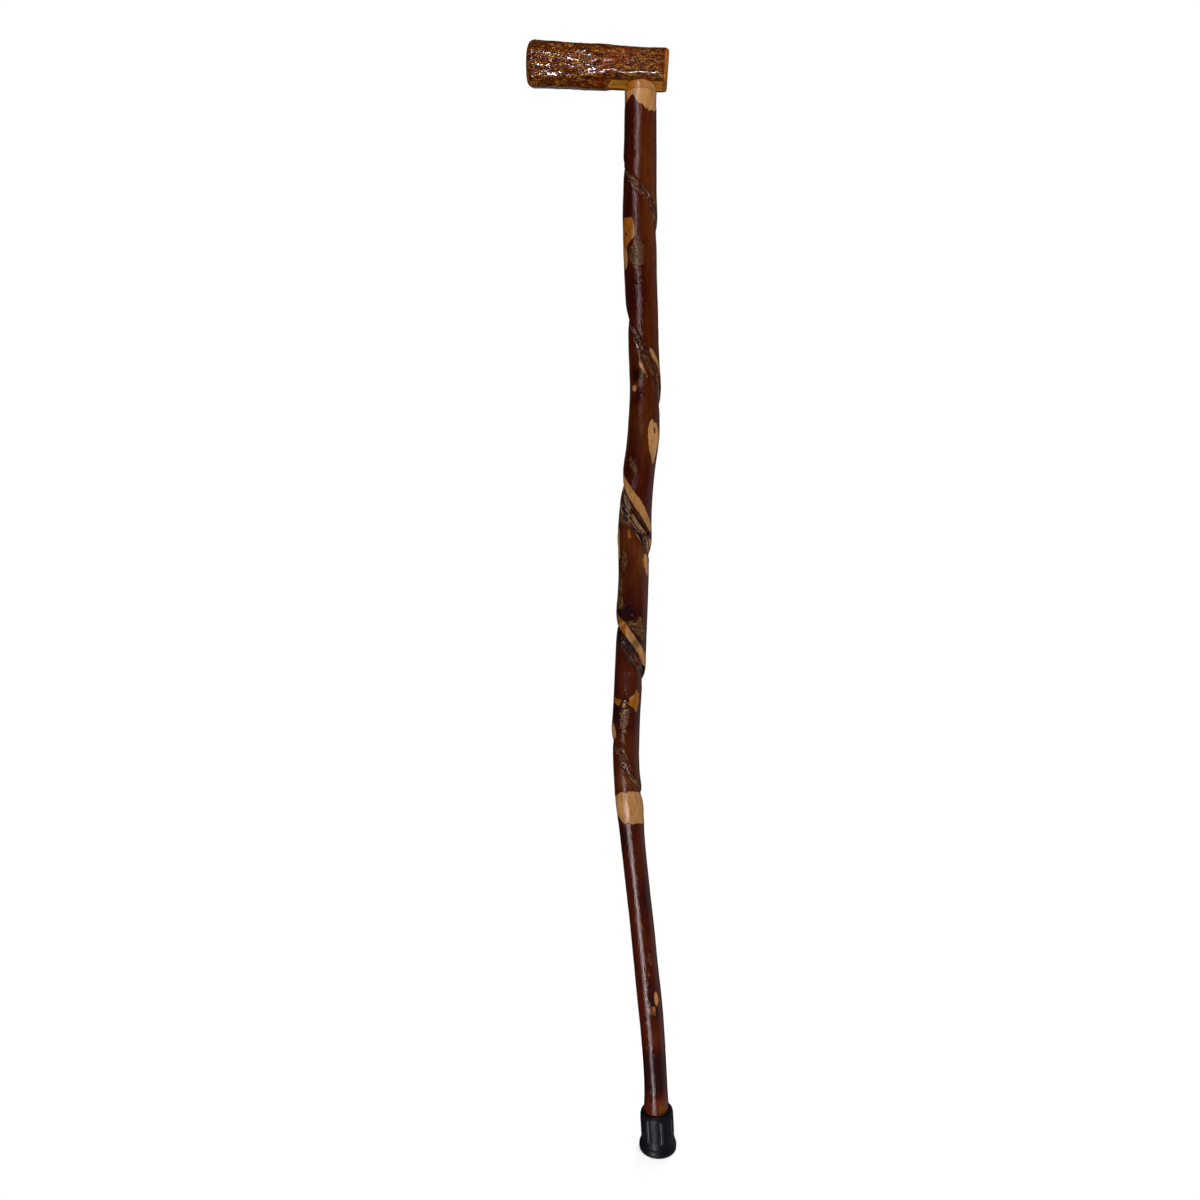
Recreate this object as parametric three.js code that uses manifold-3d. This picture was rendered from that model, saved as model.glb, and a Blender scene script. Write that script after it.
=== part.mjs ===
// Twisted vine walking cane: a stick that grew inside a climbing vine, a log handle with its bark
// on, and a rubber foot. Millimetres, +Z up. The origin is the middle of the foot's flat
// underside, the short end of the handle points to +X, and the side that is seen faces -Y.

import * as THREE from 'three';
import { mergeVertices } from 'three/addons/utils/BufferGeometryUtils.js';
import Module from 'manifold-3d';

const wasm = await Module();
wasm.setup();

// Room left between faces that touch on the real cane
const JOINT_GAP = 0.3;

// The stick as it grew: height, drift to +X, drift to +Y and radius, from the foot to the handle
const STICK = [
  [8, -0.6, 0.1, 10.9],
  [38, -1.4, 0.6, 11.1],
  [52, -1.8, 1.0, 10.6],
  [100, -4.5, 2.0, 10.7],
  [138, -8.0, 2.8, 10.9],
  [200, -14.5, 4.0, 10.7],
  [270, -21.9, 5.4, 10.7],
  [293, -24.3, 5.8, 11.2],
  [313, -26.0, 5.7, 12.4],
  [331, -27.9, 5.0, 11.6],
  [350, -29.1, 4.3, 11.4],
  [372, -29.5, 3.4, 11.6],
  [402, -28.7, 2.6, 12.0],
  [446, -25.8, 0.9, 12.9],
  [485, -24.3, -1.2, 12.9],
  [515, -23.4, -2.8, 12.9],
  [547, -23.1, -4.0, 13.9],
  [577, -21.6, -3.8, 13.6],
  [600, -19.1, -3.5, 13.0],
  [628, -16.0, -3.3, 13.3],
  [664, -14.7, -2.8, 12.7],
  [700, -15.9, -1.2, 12.7],
  [730, -16.9, -0.2, 12.9],
  [760, -18.6, 1.2, 13.4],
  [802, -19.5, 1.6, 14.0],
  [825, -19.4, 1.3, 13.7],
  [855, -19.3, 0.8, 13.3],
  [905, -19.2, 0.0, 13.0],
];

// The vine's path down the stick: height, and turns round it counted from the front towards +X
const VINE_PATH = [
  [312, 4.45],
  [341, 4.12],
  [358, 4.0],
  [373, 3.81],
  [405, 3.5],
  [439, 3.17],
  [457, 3.0],
  [471, 2.83],
  [509, 2.5],
  [549, 2.16],
  [564, 2.01],
  [587, 1.84],
  [632, 1.5],
  [675, 1.17],
  [702, 1.0],
  [726, 0.8],
  [768, 0.5],
  [811, 0.17],
  [827, 0.0],
  [844, -0.19],
  [872, -0.45],
];

// How deeply the vine bit into the stick: height, and share of the full depth
const VINE_DEPTH = [
  [300, 0],
  [330, 0.8],
  [358, 0.9],
  [457, 1.1],
  [575, 1.1],
  [702, 0.9],
  [827, 0.6],
  [850, 0.4],
  [875, 0],
];

// The scar across its width: degrees round the stick from the groove's upper edge, and rise.
// The groove lies on the negative side, with a strand of rough bark left along its floor, and
// the swollen lip that overhung the vine lies on the other.
const SCAR_PROFILE = [
  [-180, 0],
  [-95, 0],
  [-60, -0.3],
  [-42, -1.0],
  [-28, -2.1],
  [-20, -1.2],
  [-13, -1.2],
  [-5, -2.0],
  [0, 0.4],
  [8, 0.8],
  [24, 0.7],
  [46, 0.3],
  [90, 0],
  [180, 0],
];

// Columns of the stick's mesh run along the scar, close together across it
const STICK_COLUMNS = [
  -165, -146, -127, -110, -95, -78, -60, -51, -42, -35, -28, -20, -13, -5,
  0, 8, 16, 24, 35, 46, 62, 80, 100, 122, 144, 168,
];

// Knots and hollows: degrees from the front towards +X, height, reach and rise
const KNOTS = [
  [-52, 789, 9, 1.0],
  [-42, 667, 7, 1.0],
  [45, 628, 11, 0.7],
  [-80, 545, 12, 0.7],
  [-50, 526, 8, -1.0],
  [-12, 405, 8, 1.0],
  [20, 131, 6, 0.7],
  [165, 742, 8, 0.9],
  [-150, 500, 9, 0.9],
  [140, 236, 7, 0.8],
];

const SMOOTH_STEP = 10;
const SCAR_STEP = 4.7;
const SCAR_LOW = 285;

// Turned top of the stick: a ring line, a rounded shoulder and the tenon glued into the handle
const COLLAR_HEIGHT = 899.4;
const COLLAR_NOTCH = 0.35;
const SHOULDER_RADIUS = 11.6;
const SHOULDER_RINGS = 4;
const TENON_RADIUS = 8;
const TENON_LENGTH = 20;
const TENON_CHAMFER = 1.2;
const GLUE_ROOM = 0.8;

// Handle: a length of log with its bark, tipped and turned a little on the stick
const SEAT = new THREE.Vector3(-19.2, 0, 906.2);
const HANDLE_TILT = THREE.MathUtils.degToRad(3.5);
const HANDLE_TURN = THREE.MathUtils.degToRad(-2);
const LOG_RADIUS = 16.8;
const LOG_LEFT = -91.5;
const LOG_RIGHT = 21;
const LOG_COLUMNS = 40;
const LOG_STEP = 7;
const LEFT_ROUNDING = 5.5;
const RIGHT_ROUNDING = 3.6;
const SEAT_DEPTH = 12.1;
const SEAT_LEFT = -23;
const SEAT_RAMP = 7;

// Rubber foot: outline from the middle of the tread out and up to the rim, radius and height
const TREAD = [
  [4.5, 0],
  [4.5, 1],
  [6, 1],
  [6, 0],
  [9, 0],
  [9, 1],
  [10.5, 1],
  [10.5, 0],
  [15.8, 0],
  [16.4, 0.5],
];
const FLARE = [
  [16.6, 1.6],
  [16.6, 4],
  [16.2, 5.6],
  [15.4, 7.3],
  [14.9, 9.4],
  [14.7, 11.5],
];
const SLEEVE_RADIUS = 14.6;
const RIB_FOOT = 12.5;
const RIB_TOP = 32;
const RIB_RINGS = 3;
const RIM = [
  [14.6, 32.7],
  [14.2, 34.3],
  [13.3, 35.6],
  [12.4, 36.3],
  [11.7, 36.4],
];
const RIB_COUNT = 8;
const RIB_BEARING = 10;
const RIB_PROFILE = [
  [-22.5, 0],
  [-8, 0],
  [-5, -0.45],
  [-2.2, 0.4],
  [2.2, 0.4],
  [5, -0.45],
  [8, 0],
];
const CUP_FLOOR = 7;
const RIM_TILT = 0.1;

// Steel disc that the stick's end bears on
const DISC_RADIUS = 9.6;
const DISC_HOLE = 3;
const DISC_THICKNESS = 1.2;
const DISC_SEGMENTS = 32;

const { degToRad, euclideanModulo, lerp, smoothstep } = THREE.MathUtils;

// Row of a table whose first column rises, found from below
function rowBelow(table, at) {
  let row = 0;
  while (row < table.length - 2 && at > table[row + 1][0]) row += 1;
  return row;
}

// Straight-line value between the rows of a table
function readStraight(table, at) {
  const row = rowBelow(table, at);
  const [lowAt, low] = table[row];
  const [highAt, high] = table[row + 1];
  const share = THREE.MathUtils.clamp((at - lowAt) / (highAt - lowAt), 0, 1);
  return lerp(low, high, share);
}

// Smooth value of one column of a table, with its slope carried through each row
function readSmooth(table, at, column = 1) {
  const row = rowBelow(table, at);
  const slope = (index) => {
    const before = table[Math.max(index - 1, 0)];
    const after = table[Math.min(index + 1, table.length - 1)];
    return (after[column] - before[column]) / (after[0] - before[0]);
  };
  const low = table[row];
  const high = table[row + 1];
  const span = high[0] - low[0];
  const t = THREE.MathUtils.clamp((at - low[0]) / span, 0, 1);
  const rest = 1 - t;
  return (1 + 2 * t) * rest * rest * low[column] + t * rest * rest * span * slope(row)
    + t * t * (3 - 2 * t) * high[column] - t * t * rest * span * slope(row + 1);
}

// Point at a bearing from the front towards +X, at a distance from a centre
function pointRound(centre, bearing, radius, height) {
  const angle = degToRad(bearing);
  return new THREE.Vector3(
    centre.x + radius * Math.sin(angle),
    centre.y - radius * Math.cos(angle),
    height,
  );
}

// Closed skin through rings of points, with a fan over each end and the shorter diagonal in
// each panel, so that panels which twist with the vine stay smooth
function loft(rings) {
  const points = [];
  const triangles = [];
  const count = rings[0].length;
  const middle = (ring) => ring
    .reduce((sum, point) => sum.add(point), new THREE.Vector3())
    .divideScalar(count);
  rings.forEach((ring) => points.push(...ring));
  const foot = points.push(middle(rings[0])) - 1;
  const head = points.push(middle(rings[rings.length - 1])) - 1;
  for (let side = 0; side < count; side += 1) {
    const next = (side + 1) % count;
    const top = (rings.length - 1) * count;
    triangles.push(foot, next, side, head, top + side, top + next);
    for (let ring = 0; ring < rings.length - 1; ring += 1) {
      const a = ring * count + side;
      const b = ring * count + next;
      const c = b + count;
      const d = a + count;
      if (points[a].distanceTo(points[c]) < points[b].distanceTo(points[d])) {
        triangles.push(a, b, c, a, c, d);
      } else {
        triangles.push(a, b, d, b, c, d);
      }
    }
  }
  const geometry = new THREE.BufferGeometry();
  geometry.setFromPoints(points);
  geometry.setIndex(triangles);
  return geometry;
}

// Solid for joining and cutting, from a closed geometry
function toSolid(geometry) {
  const bare = geometry.clone();
  bare.deleteAttribute('normal');
  bare.deleteAttribute('uv');
  const merged = mergeVertices(bare, 1e-4);
  return new wasm.Manifold(new wasm.Mesh({
    numProp: 3,
    vertProperties: new Float32Array(merged.attributes.position.array),
    triVerts: new Uint32Array(merged.index.array),
  }));
}

function toGeometry(solid) {
  const mesh = solid.getMesh();
  const geometry = new THREE.BufferGeometry();
  geometry.setAttribute('position', new THREE.BufferAttribute(mesh.vertProperties, 3));
  geometry.setIndex(new THREE.BufferAttribute(mesh.triVerts, 1));
  return geometry;
}

function makePiece(name, geometry, material) {
  const piece = new THREE.Mesh(geometry, material);
  piece.name = name;
  return piece;
}

// Directions of the handle: along the log, and square to its seat
const handleTurn = new THREE.Euler(0, HANDLE_TILT, HANDLE_TURN, 'ZYX');
const alongLog = new THREE.Vector3(1, 0, 0).applyEuler(handleTurn);
const outOfSeat = new THREE.Vector3(0, 0, 1).applyEuler(handleTurn);
const acrossLog = new THREE.Vector3(0, 1, 0).applyEuler(handleTurn);

function vineBearing(height) {
  return readSmooth(VINE_PATH, height) * 360;
}

// Rise of the stick's surface over its plain round section
function barkRise(bearing, height, radius) {
  const across = euclideanModulo(bearing - vineBearing(height) + 180, 360) - 180;
  let rise = readStraight(SCAR_PROFILE, across) * readStraight(VINE_DEPTH, height);
  KNOTS.forEach(([knotBearing, knotHeight, reach, knotRise]) => {
    const turn = euclideanModulo(bearing - knotBearing + 180, 360) - 180;
    const distance = Math.hypot(degToRad(turn) * radius, height - knotHeight);
    rise += knotRise * Math.exp(-2 * (distance / reach) ** 2);
  });
  return rise;
}

function stickCentre(height) {
  return new THREE.Vector3(readSmooth(STICK, height, 1), readSmooth(STICK, height, 2), height);
}

function stickRing(height, inset = 0) {
  const centre = stickCentre(height);
  const radius = readSmooth(STICK, height, 3);
  return STICK_COLUMNS.map((column) => {
    const bearing = vineBearing(height) + column;
    return pointRound(centre, bearing, radius + barkRise(bearing, height, radius) - inset, height);
  });
}

// Height of the seat's plane above a point, less the gap under it
function seatHeight(point) {
  const aside = outOfSeat.x * (point.x - SEAT.x) + outOfSeat.y * (point.y - SEAT.y);
  return SEAT.z - JOINT_GAP - aside / outOfSeat.z;
}

function shoulderRing(share) {
  const straight = readSmooth(STICK, COLLAR_HEIGHT, 3) - COLLAR_NOTCH / 2;
  const radius = lerp(SHOULDER_RADIUS, straight, Math.sqrt(1 - share * share));
  const centre = stickCentre(COLLAR_HEIGHT);
  return STICK_COLUMNS.map((column) => {
    const bearing = vineBearing(COLLAR_HEIGHT) + column;
    const point = pointRound(centre, bearing, radius, COLLAR_HEIGHT + COLLAR_NOTCH);
    point.z = lerp(point.z, seatHeight(point), share);
    return point;
  });
}

function tenonRing(rise, radius) {
  return STICK_COLUMNS.map((column) => {
    const angle = degToRad(vineBearing(COLLAR_HEIGHT) + column);
    return SEAT.clone()
      .addScaledVector(outOfSeat, rise - JOINT_GAP)
      .addScaledVector(alongLog, radius * Math.sin(angle))
      .addScaledVector(acrossLog, -radius * Math.cos(angle));
  });
}

// The stick: one grown stem, smooth below the vine scar, with its turned top
function makeShaft() {
  const end = CUP_FLOOR + DISC_THICKNESS + 2 * JOINT_GAP;
  const rings = [stickRing(end, 1), stickRing(end + 1)];
  for (let height = end + 8; height < SCAR_LOW; height += SMOOTH_STEP) {
    rings.push(stickRing(height));
  }
  for (let height = SCAR_LOW; height < COLLAR_HEIGHT - SCAR_STEP; height += SCAR_STEP) {
    rings.push(stickRing(height));
  }
  rings.push(stickRing(COLLAR_HEIGHT - COLLAR_NOTCH));
  rings.push(stickRing(COLLAR_HEIGHT, COLLAR_NOTCH));
  for (let ring = 0; ring <= SHOULDER_RINGS; ring += 1) {
    rings.push(shoulderRing(ring / SHOULDER_RINGS));
  }
  rings.push(tenonRing(0, TENON_RADIUS));
  rings.push(tenonRing(TENON_LENGTH - TENON_CHAMFER, TENON_RADIUS));
  rings.push(tenonRing(TENON_LENGTH, TENON_RADIUS - TENON_CHAMFER));
  const stain = new THREE.MeshStandardMaterial({ color: 0x4a2015, roughness: 0.3, metalness: 0 });
  return makePiece('shaft', loft(rings), stain);
}

// Bark of the log: long ridges that wander a little, and a shallow hollow on top near the stick
function logRise(along, angle) {
  const ridges = 0.3 * Math.sin(5 * angle + along / 23) + 0.2 * Math.sin(11 * angle - along / 17);
  const swell = 0.2 * Math.sin(along / 19 + 2 * angle);
  const hollow = -0.7 * Math.exp(-(((along + 9) / 13) ** 2)) * Math.max(0, Math.cos(angle)) ** 2;
  return ridges + swell + hollow;
}

// Ring of the log, with a quarter-round falling away over the last stretch before each end
function logRing(along) {
  const fromLeft = smoothEnd(along - LOG_LEFT, LEFT_ROUNDING);
  const fromRight = smoothEnd(LOG_RIGHT - along, RIGHT_ROUNDING);
  const fall = fromLeft + fromRight;
  return Array.from({ length: LOG_COLUMNS }, (_, column) => {
    const angle = (column / LOG_COLUMNS) * 2 * Math.PI;
    const radius = LOG_RADIUS + logRise(along, angle) - fall;
    return new THREE.Vector3(along, radius * Math.sin(angle), radius * Math.cos(angle));
  }).reverse();
}

function smoothEnd(inside, rounding) {
  const share = Math.max(0, 1 - inside / rounding);
  return 0.9 * rounding * (1 - Math.sqrt(1 - share * share));
}

function makeLog() {
  const places = [];
  const bends = [0, 0.12, 0.35, 0.65, 1];
  bends.forEach((share) => places.push(LOG_LEFT + share * LEFT_ROUNDING));
  const first = LOG_LEFT + LEFT_ROUNDING + LOG_STEP;
  for (let along = first; along < LOG_RIGHT - RIGHT_ROUNDING - 3; along += LOG_STEP) {
    places.push(along);
  }
  bends.slice().reverse().forEach((share) => places.push(LOG_RIGHT - share * RIGHT_ROUNDING));
  return loft(places.map(logRing));
}

// Flat planed under the log for the stick, running out to the left in a short ramp
function makeSeatCut() {
  const below = -LOG_RADIUS - 5;
  const slope = SEAT_RAMP / (LOG_RADIUS - SEAT_DEPTH);
  const outline = new THREE.Shape();
  outline.moveTo(SEAT_LEFT, -SEAT_DEPTH);
  outline.lineTo(SEAT_LEFT - slope * (-SEAT_DEPTH - below), below);
  outline.lineTo(LOG_RIGHT + 5, below);
  outline.lineTo(LOG_RIGHT + 5, -SEAT_DEPTH);
  outline.closePath();
  const depth = 3 * LOG_RADIUS;
  const cut = new THREE.ExtrudeGeometry(outline, { depth, bevelEnabled: false });
  cut.rotateX(Math.PI / 2);
  cut.translate(0, depth / 2, 0);
  return cut;
}

function makeMortiseCut() {
  const depth = TENON_LENGTH + GLUE_ROOM;
  const mortise = new THREE.CylinderGeometry(
    TENON_RADIUS + JOINT_GAP, TENON_RADIUS + JOINT_GAP, depth + 1, 32,
  );
  mortise.rotateX(Math.PI / 2);
  mortise.translate(0, 0, -SEAT_DEPTH + depth / 2 - 0.5);
  return mortise;
}

function makeHandle() {
  const solid = toSolid(makeLog())
    .subtract(toSolid(makeSeatCut()))
    .subtract(toSolid(makeMortiseCut()));
  const bark = new THREE.MeshStandardMaterial({ color: 0x7a4a20, roughness: 0.3, metalness: 0 });
  const handle = makePiece('handle', toGeometry(solid), bark);
  handle.rotation.copy(handleTurn);
  handle.position.copy(SEAT).addScaledVector(outOfSeat, SEAT_DEPTH);
  return handle;
}

// The foot leans with the stick: its rings drift and tip from the flat tread up to the rim
function footRing(radius, height, ribShare = 0) {
  const share = smoothstep(height, 4, 36);
  const stick = stickCentre(height);
  const centre = new THREE.Vector3(stick.x * share, stick.y * share, height);
  const ring = [];
  for (let rib = 0; rib < RIB_COUNT; rib += 1) {
    RIB_PROFILE.forEach(([aside, rise]) => {
      const bearing = RIB_BEARING + (rib * 360) / RIB_COUNT + aside;
      const point = pointRound(centre, bearing, radius + rise * ribShare, height);
      point.z += RIM_TILT * share * (point.x - centre.x);
      ring.push(point);
    });
  }
  return ring;
}

// Ring of the cup's wall, round the stick that stands in it
function cupRing(height) {
  const centre = stickCentre(height);
  const share = smoothstep(height, 4, 36);
  return footRing(0, height).map((_, index, all) => {
    const aside = RIB_PROFILE[index % RIB_PROFILE.length][0];
    const rib = Math.floor(index / RIB_PROFILE.length);
    const bearing = RIB_BEARING + (rib * 360) / (all.length / RIB_PROFILE.length) + aside;
    const radius = readSmooth(STICK, height, 3) + JOINT_GAP;
    const point = pointRound(centre, bearing, radius, height);
    point.z += RIM_TILT * share * (point.x - centre.x);
    return point;
  });
}

function makeFoot() {
  const rings = TREAD.concat(FLARE).map(([radius, height]) => footRing(radius, height));
  rings.push(footRing(SLEEVE_RADIUS, RIB_FOOT, 1));
  for (let ring = 1; ring <= RIB_RINGS; ring += 1) {
    const height = lerp(RIB_FOOT, RIB_TOP, ring / RIB_RINGS);
    rings.push(footRing(SLEEVE_RADIUS, height, 1));
  }
  RIM.forEach(([radius, height]) => rings.push(footRing(radius, height)));
  for (let height = 35; height > CUP_FLOOR; height -= 7) {
    rings.push(cupRing(height));
  }
  rings.push(cupRing(CUP_FLOOR));
  const rubber = new THREE.MeshStandardMaterial({ color: 0x15151a, roughness: 0.55, metalness: 0 });
  return makePiece('ferrule', loft(rings), rubber);
}

function makeDisc() {
  const bottom = CUP_FLOOR + JOINT_GAP;
  const top = bottom + DISC_THICKNESS;
  const section = [
    new THREE.Vector2(DISC_HOLE, bottom),
    new THREE.Vector2(DISC_RADIUS, bottom),
    new THREE.Vector2(DISC_RADIUS, top),
    new THREE.Vector2(DISC_HOLE, top),
    new THREE.Vector2(DISC_HOLE, bottom),
  ];
  const disc = new THREE.LatheGeometry(section, DISC_SEGMENTS);
  disc.rotateX(Math.PI / 2);
  const steel = new THREE.MeshStandardMaterial({ color: 0x9a9da2, roughness: 0.35, metalness: 1 });
  const piece = makePiece('ferrule_washer', disc, steel);
  const centre = stickCentre(bottom);
  piece.position.set(centre.x, centre.y, 0);
  return piece;
}

const cane = new THREE.Group();
cane.name = 'twisted_vine_cane';
cane.add(makeShaft(), makeHandle(), makeFoot(), makeDisc());

export default cane;
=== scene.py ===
import math

import bpy
import numpy as np
from mathutils import Euler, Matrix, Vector


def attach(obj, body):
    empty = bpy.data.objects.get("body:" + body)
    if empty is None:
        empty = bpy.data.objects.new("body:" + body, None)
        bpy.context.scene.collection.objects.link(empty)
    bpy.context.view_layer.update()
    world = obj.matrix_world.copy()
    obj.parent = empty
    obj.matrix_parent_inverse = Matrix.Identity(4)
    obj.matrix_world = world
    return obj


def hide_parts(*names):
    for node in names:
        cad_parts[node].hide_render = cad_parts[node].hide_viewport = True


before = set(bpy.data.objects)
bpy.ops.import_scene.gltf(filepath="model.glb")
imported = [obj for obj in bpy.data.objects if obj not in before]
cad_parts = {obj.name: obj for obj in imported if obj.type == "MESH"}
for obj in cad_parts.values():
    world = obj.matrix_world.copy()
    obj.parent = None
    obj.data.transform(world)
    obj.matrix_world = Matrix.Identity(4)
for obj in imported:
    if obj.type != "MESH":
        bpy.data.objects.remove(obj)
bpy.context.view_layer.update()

# The stick: one young stem that grew with a climbing vine wound round it. The vine is gone and
# its spiral scar stays: a groove with rough bark and one strand in it, under a swollen lip. The
# thin bark is stained and varnished, and high spots are sanded down to the pale wood.

# The stick as it grew: height, drift to +X, drift to +Y and radius, from the foot to the handle
STICK = [
    [8, -0.6, 0.1, 10.9],
    [38, -1.4, 0.6, 11.1],
    [52, -1.8, 1.0, 10.6],
    [100, -4.5, 2.0, 10.7],
    [138, -8.0, 2.8, 10.9],
    [200, -14.5, 4.0, 10.7],
    [270, -21.9, 5.4, 10.7],
    [293, -24.3, 5.8, 11.2],
    [313, -26.0, 5.7, 12.4],
    [331, -27.9, 5.0, 11.6],
    [350, -29.1, 4.3, 11.4],
    [372, -29.5, 3.4, 11.6],
    [402, -28.7, 2.6, 12.0],
    [446, -25.8, 0.9, 12.9],
    [485, -24.3, -1.2, 12.9],
    [515, -23.4, -2.8, 12.9],
    [547, -23.1, -4.0, 13.9],
    [577, -21.6, -3.8, 13.6],
    [600, -19.1, -3.5, 13.0],
    [628, -16.0, -3.3, 13.3],
    [664, -14.7, -2.8, 12.7],
    [700, -15.9, -1.2, 12.7],
    [730, -16.9, -0.2, 12.9],
    [760, -18.6, 1.2, 13.4],
    [802, -19.5, 1.6, 14.0],
    [825, -19.4, 1.3, 13.7],
    [855, -19.3, 0.8, 13.3],
    [905, -19.2, 0.0, 13.0],
]

# The vine's path down the stick: height, and turns round it counted from the front towards +X
VINE_PATH = [
    [312, 4.45], [341, 4.12], [358, 4.0], [373, 3.81], [405, 3.5], [439, 3.17], [457, 3.0],
    [471, 2.83], [509, 2.5], [549, 2.16], [564, 2.01], [587, 1.84], [632, 1.5], [675, 1.17],
    [702, 1.0], [726, 0.8], [768, 0.5], [811, 0.17], [827, 0.0], [844, -0.19], [872, -0.45],
]

# How deeply the vine bit into the stick: height, and share of the full depth
VINE_DEPTH = [
    [300, 0], [330, 0.8], [358, 0.9], [457, 1.1], [575, 1.1], [702, 0.9], [827, 0.6],
    [850, 0.4], [875, 0],
]

# The scar across its width: degrees round the stick from the groove's upper edge, and rise
SCAR_PROFILE = [
    [-180, 0], [-95, 0], [-60, -0.3], [-42, -1.0], [-28, -2.1], [-20, -1.2], [-13, -1.2],
    [-5, -2.0], [0, 0.4], [8, 0.8], [24, 0.7], [46, 0.3], [90, 0], [180, 0],
]

# Knots and hollows: degrees from the front towards +X, height, reach and rise
KNOTS = [
    [-52, 789, 9, 1.0],
    [-42, 667, 7, 1.0],
    [45, 628, 11, 0.7],
    [-80, 545, 12, 0.7],
    [-50, 526, 8, -1.0],
    [-12, 405, 8, 0.4],
    [20, 131, 6, 0.7],
    [165, 742, 8, 0.9],
    [-150, 500, 9, 0.9],
    [140, 236, 7, 0.8],
]

# Rough bark in the groove: height, how far it reaches below the upper edge in degrees, and how
# much of it is worn to light fibres
SCAR_BARK = [
    [300, 24, 0.0],
    [330, 38, 0.15],
    [352, 46, 0.35],
    [373, 42, 0.3],
    [405, 42, 0.0],
    [439, 56, -0.2],
    [471, 58, -0.15],
    [509, 50, 0.3],
    [540, 58, 1.0],
    [575, 58, 0.95],
    [615, 50, 0.6],
    [675, 34, 0.3],
    [702, 38, 0.25],
    [768, 36, 0.25],
    [827, 38, 0.25],
    [850, 26, 0.2],
    [872, 8, 0.2],
]

# Outlines of the wood sanded bare: degrees from the front towards +X, and height
BARE_WOOD = [
    [(-98, 800), (-76, 804), (-52, 801.5), (-34, 802), (-25, 799), (-17, 791), (-21, 786),
     (-37, 783), (-56, 779), (-54, 772), (-51, 768), (-62, 762), (-72, 762), (-86, 772),
     (-98, 786)],
    [(16, 699), (29, 697.5), (43, 692.5), (58, 687), (70, 677), (63, 677), (49, 685), (30, 690),
     (18, 695)],
    [(-22, 688.5), (-12, 686.5), (-1, 681), (3, 676.5), (-9, 679), (-18, 682), (-25, 686)],
    [(4, 677), (8, 676), (7, 674.5), (3, 675)],
    [(-54, 667), (-49, 669.3), (-41, 669.3), (-34, 667), (-35, 664.6), (-42, 663.6), (-51, 664.6)],
    [(22, 641), (31, 641.5), (35, 637.5), (40, 640), (51, 637), (61, 630), (70, 624), (64, 618),
     (60, 611), (53, 604), (44, 607), (30, 614), (19, 620), (11, 631), (14, 638)],
    [(-110, 607), (-78, 599), (-49, 593), (-26, 587), (-2, 580.5), (18, 574.5), (38, 567),
     (50, 562.5), (62, 556.5), (72, 549), (65, 549), (52, 551.5), (37, 556), (22, 561), (6, 567),
     (-16, 574), (-35, 580), (-52, 585.5), (-72, 594), (-95, 602)],
    [(-24, 555), (-28, 550), (-26, 544.5), (-17, 545.5), (-10, 543.5), (-17, 550)],
    [(-98, 554), (-65, 554), (-58, 543), (-63, 533), (-72, 526), (-90, 530), (-104, 542)],
    [(25, 530), (31, 527.5), (36, 530.5), (40, 533), (54, 531), (66, 525), (66, 516), (58, 512),
     (45, 519), (33, 523.5)],
    [(-100, 491), (-73, 481.5), (-44, 478), (-26, 475), (-5, 467.5), (12, 463), (32, 456.5),
     (52, 450.5), (68, 445), (82, 437), (70, 436), (55, 439.5), (36, 446), (19, 451), (-3, 458),
     (-26, 464), (-45, 468), (-59, 472), (-78, 480), (-96, 488)],
    [(-3, 432.8), (0, 432.8), (0, 431.4), (-3, 431.4)],
    [(-3, 430.5), (1, 430.5), (1, 428.9), (-3, 428.9)],
    [(-70, 411), (-58, 408.8), (-44, 408.6), (-27, 409.6), (-29, 406), (-36, 402.6), (-57, 403.5),
     (-72, 406)],
    [(30, 415), (34, 419.5), (42, 414), (50, 415.5), (55, 406), (49, 398), (40, 397), (29, 401),
     (12, 403.5), (-2, 405), (5, 407.5), (9, 411.5), (20, 412)],
    [(-82, 388), (-66, 387), (-54, 383), (-45, 377), (-50, 373.5), (-66, 375.5), (-84, 383)],
    [(37, 149.5), (50, 143), (41, 136), (27, 135.5), (19, 142), (27, 148)],
    [(2, 135), (8, 137.5), (12, 135.5), (20, 137), (26, 133), (20, 131), (22, 128), (12, 127.5),
     (10, 131)],
    [(165, 758), (182, 748), (184, 738), (170, 728), (154, 734), (150, 746)],
    [(128, 655), (152, 646), (176, 634), (200, 620), (212, 611), (196, 612), (170, 622),
     (140, 640)],
    [(150, 536), (170, 528), (192, 515), (210, 500), (190, 504), (166, 517)],
    [(-152, 512), (-140, 506), (-138, 496), (-150, 489), (-164, 495), (-165, 506)],
    [(118, 430), (140, 421), (164, 409), (180, 398), (158, 404), (130, 418)],
    [(138, 247), (148, 240), (147, 232), (139, 226), (131, 234), (132, 242)],
    [(-128, 190), (-122, 185), (-125, 179), (-133, 183)],
]

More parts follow.
